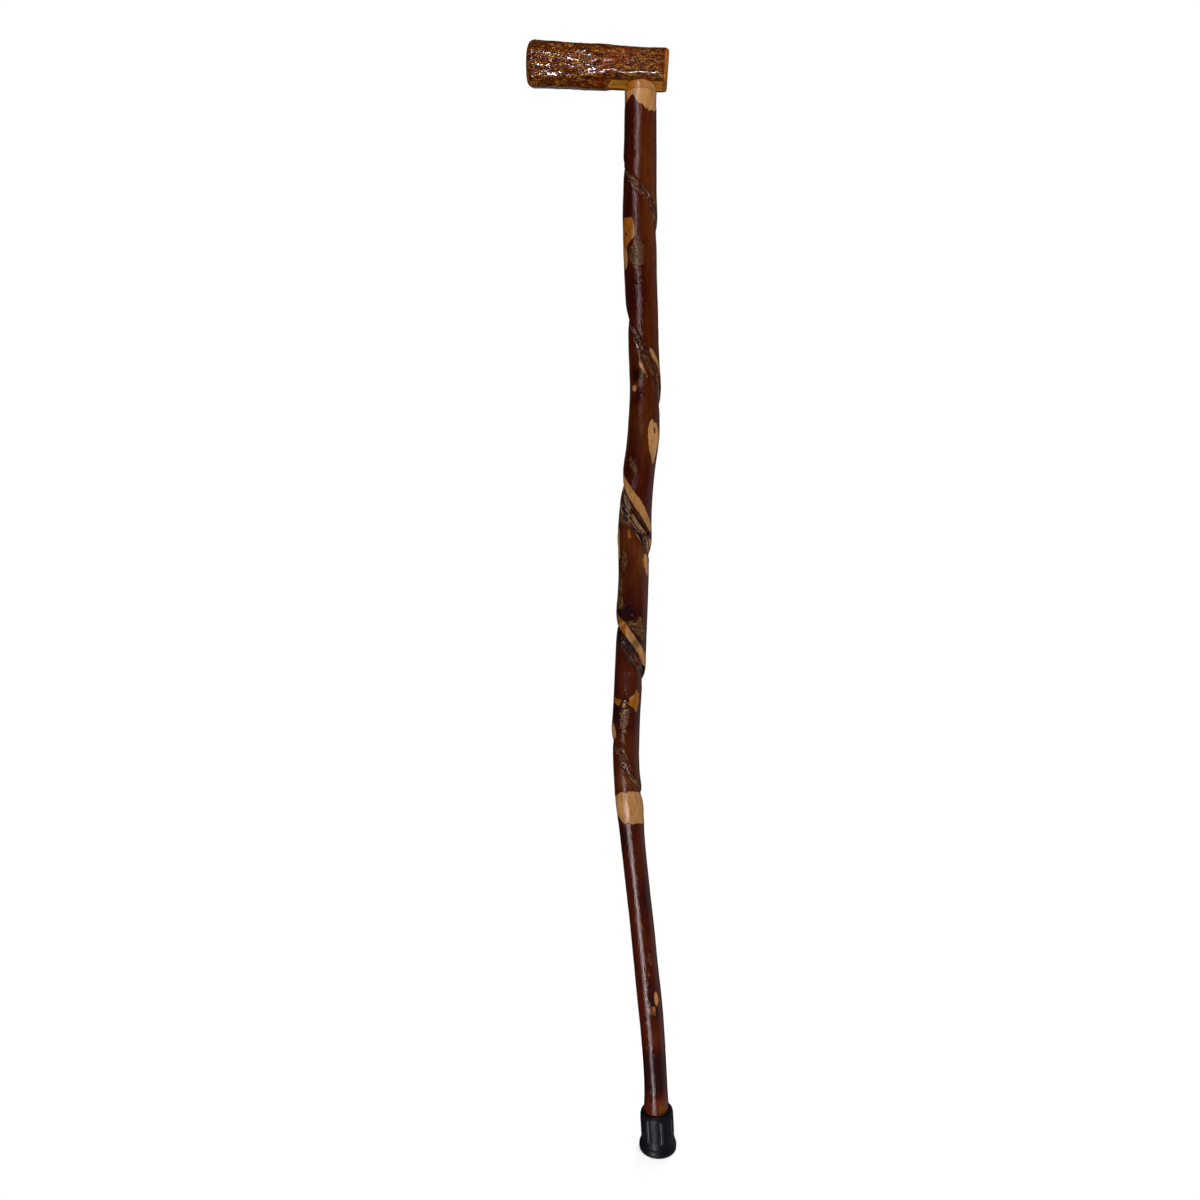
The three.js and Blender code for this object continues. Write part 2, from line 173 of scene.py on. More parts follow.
# Outlines of bare wood that the stain has turned amber
AMBER_WOOD = [
    [(-100, 806), (-48, 805), (-24, 800), (-26, 785), (-50, 776), (-72, 778), (-96, 788)],
    [(-104, 502), (-60, 490), (-24, 484), (-22, 477.4), (-46, 473.8), (-62, 471.4), (-84, 468),
     (-104, 480)],
    [(-62, 468.2), (-46, 471.4), (-34, 474), (-19, 477.4), (-18, 473.5), (-25, 469.5), (-22, 465),
     (-12, 459.5), (2, 455), (-10, 448), (-50, 452), (-72, 460)],
    [(-110, 899), (-52, 898), (-62, 888), (-110, 886)],
    [(-48, 668), (-40, 668), (-40, 665), (-48, 665)],
    [(-2, 140), (30, 140), (30, 125), (-2, 125)],
    [(-32, 558), (-6, 558), (-6, 540), (-32, 540)],
    [(-78, 415), (-24, 415), (-24, 399), (-78, 399)],
    [(26, 420), (52, 416), (58, 400), (42, 395), (24, 399), (-4, 403), (4, 409), (22, 410)],
    [(24, 532), (34, 531), (46, 524), (36, 516), (22, 522)],
    [(150, 740), (184, 746), (184, 728), (150, 728)],
]

# Outlines of the outer bark left rough and greyish under the varnish
ROUGH_BARK = [
    [(-42, 775), (-31, 780), (-10, 784), (6, 781.5), (11, 775), (6, 768), (-4, 762), (-20, 760),
     (-32, 765), (-42, 769)],
    [(-50, 612), (-40, 610), (-18, 604), (-8, 596), (-22, 599), (-46, 606)],
    [(-84, 588), (-50, 580), (-30, 570), (-8, 560), (2, 550), (-22, 556), (-44, 557), (-76, 558),
     (-100, 566)],
    [(-42, 535), (-58, 526), (-56, 518), (-36, 519), (-29, 529)],
    [(-72, 517), (-50, 515), (-47, 503), (-53, 496), (-34, 488), (-54, 485), (-72, 487),
     (-76, 503)],
    [(-18, 473.5), (-8, 476), (4, 474), (14, 475), (19, 479), (37, 478), (41, 470), (56, 467),
     (58, 460), (44, 460.5), (26, 463), (12, 468), (-6, 471)],
    [(-30, 400.5), (8, 401.5), (7, 393), (-1, 385), (-11, 377), (-16, 371), (-21, 378),
     (-26, 386)],
    [(16, 184), (27, 183), (27, 175), (19, 174)],
    [(6, 167), (12, 166), (9, 162)],
    [(120, 700), (150, 704), (176, 696), (168, 680), (134, 678)],
    [(170, 590), (200, 584), (216, 570), (190, 560), (164, 570)],
    [(-120, 846), (-100, 840), (-96, 822), (-116, 814), (-132, 828)],
    [(150, 350), (186, 346), (196, 326), (166, 318), (144, 330)],
    [(-150, 120), (-136, 118), (-130, 104), (-144, 98), (-156, 108)],
]

# Darker and lighter stretches of the stain, and one of painted light: degrees, height, reach
# round, reach up, strength
STAIN_AND_LIGHT_DRIFT = [
    [-60, 870, 18, 40, -0.5],
    [-56, 787, 7, 10, -0.5],
    [-30, 812, 12, 18, -0.6],
    [20, 850, 16, 60, 0.5],
    [50, 790, 14, 60, 0.55],
    [5, 800, 8, 24, 0.4],
    [-20, 745, 10, 16, -0.6],
    [40, 730, 14, 40, 0.3],
    [-38, 677.5, 4, 4.5, -1.6],
    [-24, 662, 3, 6, -1.2],
    [-40, 657, 4, 4, -0.8],
    [-44, 667, 3, 2.5, 1.4],
    [-70, 650, 10, 70, 0.7],
    [45, 622, 9, 16, 0.8],
    # Painted light: this row makes the knuckle's bare wood, and the bark beside it, paler on its
    # left where the light falls
    [-50, 313, 9, 9, 1.1],
    [-40, 608, 8, 14, -0.7],
    [0, 640, 8, 40, 0.2],
    [20, 590, 12, 24, -0.3],
    [0, 528, 12, 28, 1.5],
    [-50, 548, 10, 10, 0.4],
    [-14, 526, 6, 12, -1.0],
    [30, 545, 8, 8, -0.9],
    [-44, 482, 6, 8, -1.0],
    [-10, 500, 12, 24, -0.5],
    [20, 490, 12, 24, 0.15],
    [-20, 482, 14, 6, -0.6],
    [18, 457, 8, 9, -0.9],
    [-50, 440, 12, 22, 0.1],
    [10, 425, 14, 16, 0.2],
    [40, 388, 12, 14, -0.7],
    [-48, 397, 7, 8, -1.0],
    [30, 370, 14, 18, 0.2],
    [0, 337, 20, 9, 0.8],
    [-32, 287, 7, 10, -1.0],
    [30, 285, 10, 10, 0.2],
    [35, 230, 8, 16, -0.5],
    [10, 200, 8, 26, 0.3],
    [20, 155, 9, 8, -0.4],
    [8, 141, 4, 4, -1.3],
    [22, 130, 4, 4, -1.1],
    [15, 190, 8, 60, -0.3],
    [10, 108, 7, 10, 0.4],
    [28, 79, 10, 16, -1.0],
    [-50, 74, 12, 18, -1.4],
    [10, 64, 10, 8, -0.7],
    [24, 44, 9, 8, 1.0],
    [150, 780, 18, 40, 0.4],
    [-150, 700, 12, 60, -0.5],
    [170, 450, 16, 40, 0.4],
    [-130, 320, 14, 40, -0.5],
    [150, 160, 14, 50, 0.3],
]

# Edge of the stain under the turned top: degrees and height
STAIN_TOP = [
    [-180, 889], [-165, 893], [-150, 888], [-128, 892], [-112, 886], [-95, 889], [-69, 890],
    [-53, 892], [-41, 894], [-31, 895], [-22, 892], [-14, 889], [-5, 887], [4, 887],
    [11, 885], [15, 883.5], [22, 884], [30, 881.5], [38, 884], [48, 883.5], [68, 885],
    [95, 889], [118, 884], [134, 887], [150, 891], [180, 889],
]

# Bare wood round the knuckle: degrees, lower edge and upper edge
KNUCKLE_BAND = [
    [-180, 305, 321],
    [-150, 301, 318],
    [-120, 304, 324],
    [-95, 302, 321],
    [-67, 305.5, 323],
    [-51, 303, 325],
    [-30, 299, 328],
    [-11, 301, 327],
    [5, 299, 329],
    [28, 300, 328],
    [59, 298, 326],
    [80, 300, 322],
    [115, 303, 326],
    [150, 300, 319],
    [180, 305, 321],
]

# Small knots, bare like the sanded wood, each with a dark heart or a dark ring: degrees, height,
# radius of the knot and radius of the ring
PIN_KNOTS = [
    [-53, 789.5, 1.0, 0],
    [-50, 788.5, 1.0, 0],
    [37, 634.2, 1.0, 0],
    [38, 632.7, 1.0, 0],
    [39, 631.2, 1.0, 0],
    [-14, 404.8, 3.0, 2.1],
    [168, 742, 1.6, 0],
    [-148, 501, 1.4, 0],
]

# Swells, bumps and pores all over the stick: size round, size up, seed and rise
SKIN_LUMPS = [
    [9, 34, 7, 0.22],
    [3, 8, 8, 0.08],
    [1.4, 3.5, 10, 0.03],
]

JOINT_GAP = 0.3
FAR = 8
STICK_RINGS = 850
COLUMN_STEP = 4.6
SCAR_COLUMN_STEP = 2.2
SCAR_COLUMNS = (-66, 52)
FIBRE_WIDTH = 1.35
STRAND_PLACE = -20
STRAND_WIDTH = 9
WILD_FROM = (375, 410)
CALM_FROM = (636, 660)
KNOT_HEART = 0.9
SIDE_DRIFT = 0.1
BARK_STEP = 0.22
RING_LINE_TONE = -0.75
STICK_END = 8.8
END_CHAMFER = 1
COLLAR_HEIGHT = 899.4
COLLAR_NOTCH = 0.35
SHOULDER_RADIUS = 11.6
SHOULDER_RINGS = 12
TENON_RADIUS = 8
TENON_LENGTH = 20
TENON_CHAMFER = 1.2
SEAT = Vector((-19.2, 0, 906.2))
handle_turn = Euler((0, math.radians(3.5), math.radians(-2)), "XYZ").to_matrix()
along_log = handle_turn @ Vector((1, 0, 0))
across_log = handle_turn @ Vector((0, 1, 0))
out_of_seat = handle_turn @ Vector((0, 0, 1))


def read_smooth(table, at, column=1):
    """Value of one column of a table, with its slope carried through each row"""
    rows = np.array(table, float)
    place, value = rows[:, 0], rows[:, column]
    last = len(rows) - 1
    before = np.clip(np.arange(-1, last), 0, last)
    after = np.clip(np.arange(1, last + 2), 0, last)
    slope = (value[after] - value[before]) / (place[after] - place[before])
    row = np.clip(np.searchsorted(place, at) - 1, 0, last - 1)
    span = place[row + 1] - place[row]
    t = np.clip((at - place[row]) / span, 0, 1)
    rest = 1 - t
    return (
        (1 + 2 * t) * rest * rest * value[row]
        + t * rest * rest * span * slope[row]
        + t * t * (3 - 2 * t) * value[row + 1]
        - t * t * rest * span * slope[row + 1]
    )


def read_straight(table, at, column=1, period=None):
    rows = np.array(table, float)
    return np.interp(at, rows[:, 0], rows[:, column], period=period)


def stick_at(level):
    """The stick's middle and radius at one height"""
    return [read_smooth(STICK, np.array([level]), column)[0] for column in (1, 2, 3)]


def lumps(x, y, z, seed):
    """Smooth random rise from -1 to 1, with about one lump to each unit"""
    cells = [np.floor(value).astype(np.int64) for value in (x, y, z)]
    parts = [value - cell for value, cell in zip((x, y, z), cells)]
    eased = [part * part * (3 - 2 * part) for part in parts]
    total = 0
    for corner in range(8):
        steps = [corner >> axis & 1 for axis in range(3)]
        mixed = seed * 40503
        weight = 1
        for cell, step, ease, factor in zip(cells, steps, eased, (73856093, 19349663, 83492791)):
            mixed = mixed ^ (cell + step) * factor
            weight = weight * (ease if step else 1 - ease)
        mixed = (mixed ^ mixed >> 13) * 1274126177
        mixed = (mixed ^ mixed >> 16) & 65535
        total = total + weight * (mixed / 32767.5 - 1)
    return total


def turn_from(bearing, middle):
    return (bearing - middle + 180) % 360 - 180


def ease_up(value, low, high):
    share = np.clip((value - low) / (high - low), 0, 1)
    return share * share * (3 - 2 * share)


def depth_inside(outlines, bearing, height):
    """Millimetres from each point of the stick's skin in to the nearest outline round it"""
    deepest = np.full(height.shape, -float(FAR))
    for outline in outlines:
        corners = np.array(outline, float)
        for _ in range(2):
            ahead = np.roll(corners, -1, 0)
            corners = np.stack([0.75 * corners + 0.25 * ahead, 0.25 * corners + 0.75 * ahead], 1)
            corners = corners.reshape(-1, 2)
        middle = corners.mean(0)
        arc = np.radians(1) * stick_at(middle[1])[2]
        corners = (corners - middle) * (arc, 1)
        reach = np.abs(corners).max(0) + FAR
        u, v = turn_from(bearing, middle[0]) * arc, height - middle[1]
        near = (np.abs(u) < reach[0]) & (np.abs(v) < reach[1])
        u, v = u[near][:, None], v[near][:, None]
        ahead = np.roll(corners, -1, 0)
        run = ahead - corners
        off_u, off_v = u - corners[:, 0], v - corners[:, 1]
        share = np.clip((off_u * run[:, 0] + off_v * run[:, 1]) / (run**2).sum(1), 0, 1)
        gap = np.hypot(off_u - share * run[:, 0], off_v - share * run[:, 1])
        crossed = (corners[:, 1] > v) != (ahead[:, 1] > v)
        level = np.where(run[:, 1] == 0, 1e-9, run[:, 1])
        crossed &= off_u < off_v / level * run[:, 0]
        inside = crossed.sum(1) % 2 * 2 - 1
        deepest[near] = np.maximum(deepest[near], gap.min(1) * inside)
    return deepest


def lay_skin(name, rings, marks):
    """Closed piece through rings of points in millimetres, with its marks kept on the points"""
    count, around = rings.shape[:2]
    low = np.arange(count - 1)[:, None] * around + np.arange(around)
    beside = np.arange(count - 1)[:, None] * around + (np.arange(around) + 1) % around
    faces = np.stack([low, beside, beside + around, low + around], -1).reshape(-1, 4).tolist()
    faces.append(list(range(around))[::-1])
    faces.append(list(range((count - 1) * around, count * around)))
    mesh = bpy.data.meshes.new(name)
    mesh.from_pydata((rings.reshape(-1, 3) / 1000).tolist(), [], faces)
    for mark, values in marks.items():
        kind = "FLOAT" if values.ndim == 2 else "FLOAT_VECTOR"
        layer = mesh.attributes.new(mark, kind, "POINT")
        layer.data.foreach_set("value" if kind == "FLOAT" else "vector", values.ravel())
    mesh.shade_smooth()
    piece = bpy.data.objects.new(name, mesh)
    bpy.context.scene.collection.objects.link(piece)
    return piece


# Rings up the stick, whose columns run along the scar and stand closest across it
scar_columns = np.concatenate(
    [
        np.arange(-180, SCAR_COLUMNS[0], COLUMN_STEP),
        np.arange(*SCAR_COLUMNS, SCAR_COLUMN_STEP),
        np.arange(SCAR_COLUMNS[1], 178, COLUMN_STEP),
    ]
)
levels = np.linspace(STICK_END + END_CHAMFER, COLLAR_HEIGHT - COLLAR_NOTCH, STICK_RINGS)
levels = np.append(STICK_END, levels)
height, across = np.meshgrid(levels, scar_columns, indexing="ij")
bearing = read_smooth(VINE_PATH, height) * 360 + across
radius = read_smooth(STICK, height, 3)
centre_x, centre_y = read_smooth(STICK, height, 1), read_smooth(STICK, height, 2)
angle = np.radians(bearing)
round_x, round_y = np.sin(angle) * radius, -np.cos(angle) * radius

# Place along and across the vine's path, on the skin rolled out flat
lean = np.gradient(read_smooth(VINE_PATH, levels), levels)[:, None] * 2 * math.pi * radius
stretch = np.hypot(lean, 1)
beside_vine = np.radians(across) * radius / stretch
along_vine = height * stretch + lean * np.radians(across) * radius / stretch


def aside_from(middle):
    """Millimetres round the stick from a bearing to each point of its skin"""
    return turn_from(bearing, middle) * np.radians(1) * radius


# How deep each point lies in bare wood, amber wood, rough bark and the scar
bare = depth_inside(BARE_WOOD, bearing, height)
bare = np.maximum(bare, height - read_straight(STAIN_TOP, bearing, period=360))
band_low = read_straight(KNUCKLE_BAND, bearing, 1, 360)
band_high = read_straight(KNUCKLE_BAND, bearing, 2, 360)
bare = np.maximum(bare, np.minimum(height - band_low, band_high - height))
bare = np.clip(bare, -FAR, FAR)
amber = depth_inside(AMBER_WOOD, bearing, height)
rough = depth_inside(ROUGH_BARK, bearing, height)
scar_reach = read_straight(SCAR_BARK, height, 1)
scar_light = read_straight(SCAR_BARK, height, 2)
bite = read_straight(VINE_DEPTH, height)
in_scar = np.minimum(-across, scar_reach + across) * np.radians(1) * radius / stretch
in_scar = np.where(bite > 0.05, in_scar, -FAR)
strand = np.exp(-(((across - STRAND_PLACE) / STRAND_WIDTH) ** 2))
fibre_paleness_and_lip_shade = scar_light * (0.3 + 0.7 * strand)
scar_wildness = ease_up(height, *WILD_FROM) * (1 - ease_up(height, *CALM_FROM))
# Painted shade: the scar's fibres are darker just under its upper edge, in the deep crease beneath
# the lip
fibre_paleness_and_lip_shade -= ease_up(across, -11, -6) * (0.1 + 0.25 * scar_wildness)

# Torn fibres side by side along the vine, each with its own height and breaks
fibre_sway = lumps(along_vine / 26, beside_vine / 7, 0 * height, 3)
fibre_place = beside_vine / FIBRE_WIDTH + 1.3 * fibre_sway
fibre_number = np.floor(fibre_place)
fibre_ridge = np.sqrt(1 - np.abs(2 * (fibre_place - fibre_number) - 1))
fibre_height = lumps(fibre_number * 3.7, along_vine / 13, 0 * height, 4)
fibres = fibre_ridge * (0.6 + 0.9 * fibre_height) - 0.35

# Darker and lighter stretches of the stain, the bark a little lighter towards +X, and painted
# light on the knuckle's left
tone = lumps(round_x / 16, round_y / 16, height / 60, 11) * 0.3
# The bark is a little lighter towards the +X side and darker towards -X
tone += SIDE_DRIFT * np.sin(np.radians(bearing))
for middle, level, reach_round, reach_up, strength in STAIN_AND_LIGHT_DRIFT:
    aside = aside_from(middle) / reach_round
    tone += strength * np.exp(-(aside**2) - ((height - level) / reach_up) ** 2)

# Small knots
knot_heart = 0 * height
for middle, level, knot_radius, ring_radius in PIN_KNOTS:
    from_heart = np.hypot(aside_from(middle), (height - level) * 0.8)
    bare = np.maximum(bare, np.clip(knot_radius - from_heart, -FAR, FAR))
    knot_heart = np.maximum(knot_heart, np.exp(-(((from_heart - ring_radius) / KNOT_HEART) ** 2)))

# Rise of the skin: the scar's profile, knots and hollows, fibres in the scar, and lumps
rise = read_straight(SCAR_PROFILE, across) * bite
for middle, level, reach, swell in KNOTS:
    away = aside_from(middle) ** 2 + (height - level) ** 2
    rise += swell * np.exp(-2 * away / reach**2)
ragged = ease_up(in_scar, -0.5, 0.8) * np.minimum(1, bite * 1.5)
knobs = lumps(beside_vine / 1.9, along_vine / 4.5, 0 * height, 6)
rise += ragged * (0.3 + 0.45 * scar_light) * fibres
rise += ragged * (0.4 - 0.25 * scar_light) * knobs - 0.1 * ragged
scar_threads = fibres * (0.8 + 0.5 * scar_light) * (0.4 + 0.6 * scar_wildness)
scar_threads += 0.3 * (1 - scar_wildness)
for size, size_up, seed, swell in SKIN_LUMPS:
    rise += lumps(round_x / size, round_y / size, height / size_up, seed) * swell
rise -= 0.1
crust = ease_up(rough, -0.4, 0.6) * (1 - ragged)
rise += crust * (0.1 * lumps(round_x / 1.6, round_y / 1.6, height / 3, 9) + 0.05)

# Hollows, darkened by stain that collects there and by painted shade: how far a point lies below
# the skin round it
hollow = sum(np.roll(rise, step, 1) for step in range(-3, 4)) / 7 - rise
hollow *= 0.2 + (0.8 - 0.5 * scar_light) * scar_wildness
rise -= BARK_STEP * ease_up(bare, -0.2, 0.5)
rise[0] -= END_CHAMFER
stick_rings = np.stack(
    [
        centre_x + np.sin(angle) * (radius + rise),
        centre_y - np.cos(angle) * (radius + rise),
        height,
    ],
    -1,
)

# Turned top: a ring line, a rounded shoulder up to the seat, and the tenon in the handle
top_turns = read_smooth(VINE_PATH, COLLAR_HEIGHT + 0 * scar_columns)
top_angle = np.radians(top_turns * 360 + scar_columns)
top_x, top_y, top_radius = stick_at(COLLAR_HEIGHT)
reach = top_radius - COLLAR_NOTCH
ring_x, ring_y = top_x + np.sin(top_angle) * reach, top_y - np.cos(top_angle) * reach
turned_rings = [np.stack([ring_x, ring_y, 0 * top_angle + COLLAR_HEIGHT], -1)]
start_z = COLLAR_HEIGHT + COLLAR_NOTCH
shoulder_width = top_radius - COLLAR_NOTCH / 2 - SHOULDER_RADIUS
for share in np.linspace(0, 1, SHOULDER_RINGS):
    reach = SHOULDER_RADIUS + shoulder_width * math.sqrt(1 - share**2)
    ring_x, ring_y = top_x + np.sin(top_angle) * reach, top_y - np.cos(top_angle) * reach
    slant = out_of_seat.x * (ring_x - SEAT.x) + out_of_seat.y * (ring_y - SEAT.y)
    seat_z = SEAT.z - JOINT_GAP - slant / out_of_seat.z
    turned_rings.append(np.stack([ring_x, ring_y, start_z + (seat_z - start_z) * share], -1))
for rise_up, reach in (
    (0, TENON_RADIUS),
    (TENON_LENGTH - TENON_CHAMFER, TENON_RADIUS),
    (TENON_LENGTH, TENON_RADIUS - TENON_CHAMFER),
):
    middle = SEAT + out_of_seat * (rise_up - JOINT_GAP)
    turned_rings.append(
        np.array(middle)
        + np.outer(np.sin(top_angle) * reach, along_log)
        - np.outer(np.cos(top_angle) * reach, across_log)
    )
turned_rings = np.array(turned_rings)
turned = len(turned_rings)


def on_turned_top(values, filler):
    return np.concatenate([values, np.full((turned,) + values.shape[1:], float(filler))])


# The ring line is dark, and the turned top turns amber towards its left side
tone = on_turned_top(tone, 0)
tone[len(levels) - 1 : len(levels) + 2] = RING_LINE_TONE
amber = on_turned_top(amber, -FAR)
amber[len(levels) :] = 0.4 - 0.9 * np.sin(top_angle)
stick_grain = np.stack([round_x, round_y, height], -1)
turned_grain = turned_rings - (top_x, top_y, 0)
stick = lay_skin(
    "stick",
    np.concatenate([stick_rings, turned_rings]),
    {
        "bare": on_turned_top(bare, FAR),
        "amber": amber,
        "rough": on_turned_top(rough, -FAR),
        "scar": on_turned_top(np.stack([in_scar, fibre_paleness_and_lip_shade, scar_threads], -1), -FAR),
        "calm": on_turned_top(1 - scar_wildness, 1),
        "hollow": on_turned_top(hollow, 0),
        "knot_heart": on_turned_top(knot_heart, 0),
        "tone": tone,
        "grain": np.concatenate([stick_grain, turned_grain]),
        "vine_run": on_turned_top(np.stack([beside_vine, 0 * height, along_vine], -1), 0),
    },
)


def fill(node, sockets):
    """Sets a node's sockets to values, or links them to other nodes' outputs"""
    for socket, value in sockets.items():
        if isinstance(value, bpy.types.NodeSocket):
            node.id_data.links.new(value, node.inputs[socket])
        else:
            node.inputs[socket].default_value = value


def add(kind, sockets, **options):
    """Adds a shader node in the tree of the outputs that feed it"""
    fed = [value for value in sockets.values() if isinstance(value, bpy.types.NodeSocket)]
    node = fed[0].id_data.nodes.new("ShaderNode" + kind)
    for option, value in options.items():
        setattr(node, option, value)
    fill(node, sockets)
    return node


def read(tree, kind):
    """Outputs of a shader node that nothing feeds"""
    return tree.nodes.new("ShaderNode" + kind).outputs


def read_mark(tree, mark, output="Fac"):
    node = tree.nodes.new("ShaderNodeAttribute")
    node.attribute_name = mark
    return node.outputs[output]


def calc(operation, first, second=0.0):
    return add("Math", {0: first, 1: second}, operation=operation).outputs[0]


def times(value, factor, plus=0.0):
    return add("Math", {0: value, 1: factor, 2: plus}, operation="MULTIPLY_ADD").outputs[0]


def swing(value, amount, plus=0.0):
    """Times, for a value that swings round a half"""
    return times(calc("SUBTRACT", value, 0.5), amount, plus)


def fade(value, low, high):
    """Eases from 0 at one value to 1 at another"""
    sockets = {"Value": value, "From Min": low, "From Max": high}
    return add("MapRange", sockets, interpolation_type="SMOOTHSTEP").outputs[0]


def tint(share, plain, changed, how="MIX"):
    """Colour that goes from plain to changed as the share goes from 0 to 1"""
    sockets = {0: share, 6: plain, 7: changed}
    for socket, colour in sockets.items():
        if isinstance(colour, tuple):
            sockets[socket] = (*colour, 1)
    return add("Mix", sockets, data_type="RGBA", blend_type=how).outputs[2]


def shades(value, stops):
    """Colour read along a row of stops, each a place and then red, green and blue"""
    node = add("ValToRGB", {0: value})
    ramp = node.color_ramp
    for index, (place, *colour) in enumerate(stops):
        stop = ramp.elements[index] if index < 2 else ramp.elements.new(place)
        stop.position, stop.color = place, (*colour, 1)
    return node.outputs[0]


def noise(place, scale, detail=3.0, roughness=0.55, bend=0.0):
    sockets = {"Vector": place, "Scale": scale, "Detail": detail}
    sockets.update({"Roughness": roughness, "Distortion": bend})
    return add("TexNoise", sockets).outputs[0]


def squeeze(place, factors):
    return add("VectorMath", {0: place, 1: factors}, operation="MULTIPLY").outputs[0]


def distance(place):
    return add("VectorMath", {0: place}, operation="LENGTH").outputs["Value"]


def split(vector):
    return add("SeparateXYZ", {0: vector}).outputs


def use_group(group, sockets):
    return add("Group", sockets, node_tree=group).outputs


def start_group(name, inputs, outputs):
    """Shared effect with named inputs and outputs: the group, its inputs and its output node"""
    group = bpy.data.node_groups.new(name, "ShaderNodeTree")
    for socket, kind in inputs.items():
        group.interface.new_socket(socket, in_out="INPUT", socket_type="NodeSocket" + kind)
    for socket in outputs:
        group.interface.new_socket(socket, in_out="OUTPUT", socket_type="NodeSocketFloat")
    return group, group.nodes.new("NodeGroupInput").outputs, group.nodes.new("NodeGroupOutput")


# Bark drawn out along the grain: broad streaks and fine fibres
bark_streaks, taken, given = start_group(
    "bark_streaks",
    {"Place": "Vector", "Width": "Float", "Length": "Float"},
    ["Streak", "Fibre"],
)
thin, long = (calc("DIVIDE", 1, taken[size]) for size in ("Width", "Length"))
factors = add("CombineXYZ", {0: thin, 1: thin, 2: long}).outputs[0]
drawn = squeeze(taken["Place"], factors)
fill(given, {"Streak": noise(drawn, 1, 4, 0.6, 0.4), "Fibre": noise(drawn, 5.5, 3, 0.65)})

# Ragged edge of a sanded or scraped place, with the dark line that stain leaves along it
ragged_edge, taken, given = start_group(
    "ragged_edge",
    {"Depth": "Float", "Place": "Vector", "Raggedness": "Float", "Line width": "Float"},
    ["Inside", "Line"],
)
waves = noise(squeeze(taken["Place"], (1.0, 1.0, 0.4)), 0.7, 4, 0.7)
moved = swing(waves, taken["Raggedness"], taken["Depth"])
inside = fade(moved, -0.1, 0.15)
line = fade(moved, times(taken["Line width"], -1), -0.1)
fill(given, {"Inside": inside, "Line": times(line, calc("SUBTRACT", 1, inside))})

# Sanded wood: growth rings round the pith and fibres along the grain
wood_figure, taken, given = start_group(
    "wood_figure", {"Place": "Vector", "Ring width": "Float"}, ["Rings", "Fibres"]
)
from_pith = distance(squeeze(taken["Place"], (1, 1, 0)))
sway = noise(squeeze(taken["Place"], (0.16, 0.16, 0.03)), 1, 2)
ring = calc("FRACT", calc("DIVIDE", times(sway, 7, from_pith), taken["Ring width"]))
wood_fibres = noise(squeeze(taken["Place"], (1.6, 1.6, 0.09)), 1, 4, 0.6)
fill(given, {"Rings": calc("POWER", ring, 2.5), "Fibres": wood_fibres})

# Crust of fine crumbs
crumbs, taken, given = start_group("crumbs", {"Place": "Vector", "Size": "Float"}, ["Crust"])
fill(given, {"Crust": noise(taken["Place"], calc("DIVIDE", 1, taken["Size"]), 4, 0.75, 0.6)})


def streak(place, width, length):
    return use_group(bark_streaks, {"Place": place, "Width": width, "Length": length})


def edge(depth, place, raggedness, line_width=0.0):
    sockets = {"Depth": depth, "Place": place, "Raggedness": raggedness, "Line width": line_width}
    return use_group(ragged_edge, sockets)


def crumble(place, size):
    return use_group(crumbs, {"Place": place, "Size": size})["Crust"]


def bump(height, distance, strength=1.0):
    return add("Bump", {"Strength": strength, "Distance": distance, "Height": height}).outputs[0]


def start_material(name):
    """A material with its node tree and its shader"""
    material = bpy.data.materials.new(name)
    material.use_nodes = True
    tree = material.node_tree
    return material, tree, tree.nodes["Principled BSDF"]


# Colour tables: place on the scale, red, green and blue
BARK_SHADES = [
    [0.2, 0.016, 0.0026, 0.002],
    [0.36, 0.036, 0.0035, 0.001],
    [0.5, 0.054, 0.005, 0.0008],
    [0.62, 0.07, 0.011, 0.0012],
    [0.8, 0.1, 0.022, 0.0024],
    [0.98, 0.13, 0.044, 0.007],
]
ROUGH_SHADES = [
    [0.38, 0.018, 0.005, 0.0015],
    [0.46, 0.06, 0.021, 0.0045],
    [0.54, 0.11, 0.044, 0.01],
    [0.64, 0.26, 0.14, 0.045],
]
SCAR_SHADES = [
    [0.3, 0.003, 0.001, 0.001],
    [0.43, 0.034, 0.0045, 0.001],
    [0.53, 0.088, 0.0135, 0.0025],
    [0.62, 0.17, 0.052, 0.014],
    [0.76, 0.46, 0.3, 0.13],
]
WOOD_SHADES = [
    [0.1, 0.5, 0.26, 0.095],
    [0.6, 0.42, 0.195, 0.063],
    [1.0, 0.31, 0.13, 0.036],
]
DARK_FIBRES = (0.62, 0.5, 0.5)
LIGHT_FIBRES = (1.35, 1.5, 1.4)
SCAR_EDGE_DIRT = (0.01, 0.004, 0.0035)
HOLLOW_STAIN_AND_SHADE = (0.007, 0.003, 0.0028)
LIGHT_AMBER = (0.44, 0.15, 0.01)
DARK_AMBER = (0.19, 0.048, 0.003)
PALER_WOOD = (1.25, 1.3, 1.4)
STAINED_WOOD = (0.13, 0.05, 0.014)
HEART_BROWN = (0.016, 0.004, 0.002)
SOAKED_EDGE = (0.14, 0.05, 0.01)
STAIN_LINE = (0.016, 0.0045, 0.0035)

# Stained bark
stained_stick, tree, shader = start_material("stained_stick")
grain = read_mark(tree, "grain", "Vector")
tone_mark = read_mark(tree, "tone")
streaks = streak(grain, 5.0, 60.0)
shade = swing(streaks["Streak"], 0.5, 0.5)
shade = times(tone_mark, 0.34, shade)
shade = swing(streak(grain, 1.6, 16.0)["Streak"], 0.25, shade)
fibre_shade = fade(streak(grain, 0.75, 7.0)["Streak"], 0.32, 0.68)
fibre_tint = tint(fibre_shade, DARK_FIBRES, LIGHT_FIBRES)
bark = tint(0.75, shades(shade, BARK_SHADES), fibre_tint, "MULTIPLY")

# Rough bark left on the skin
crumbly = crumble(grain, 1.5)
on_rough = edge(swing(crumbly, 10, read_mark(tree, "rough")), grain, 6.0)["Inside"]
skin_colour = tint(on_rough, bark, shades(crumbly, ROUGH_SHADES))

